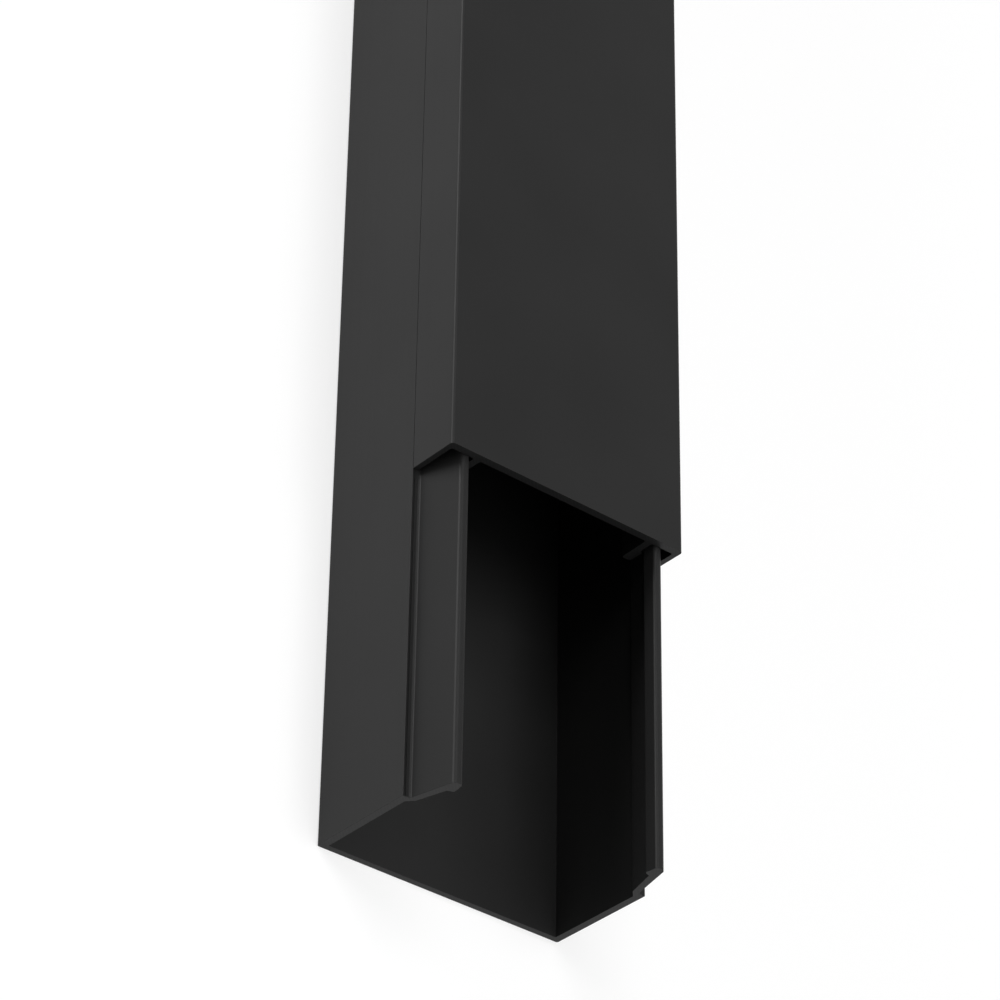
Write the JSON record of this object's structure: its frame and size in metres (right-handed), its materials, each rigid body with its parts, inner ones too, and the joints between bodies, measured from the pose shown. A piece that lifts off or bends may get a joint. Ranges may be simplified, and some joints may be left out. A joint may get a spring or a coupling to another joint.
{
  "type": "cord cover raceway",
  "caption": "Straight length of two-piece surface cord cover: a U-shaped base channel with barbed leaning upper walls and a snap-fit cover that slides along it.",
  "frame": {"origin": "centre of the base channel's flat back face", "axes": "+X across the width, +Y along the stock away from the end that the cover is slid back from, +Z from the back face to the cover's face"},
  "size_m": [0.04, 0.4486, 0.0254],
  "materials": {
    "black_pvc": "satin black extruded rigid PVC"
  },
  "bodies": {
    "base": {"base_channel": "black_pvc"},
    "cover": {"cover": "black_pvc"}
  },
  "joints": [
    {"name": "cover_slide", "type": "slide", "parent": "base", "child": "cover", "axis": [0, 1, 0], "range_m": [-0.0486, 0.36]}
  ]
}
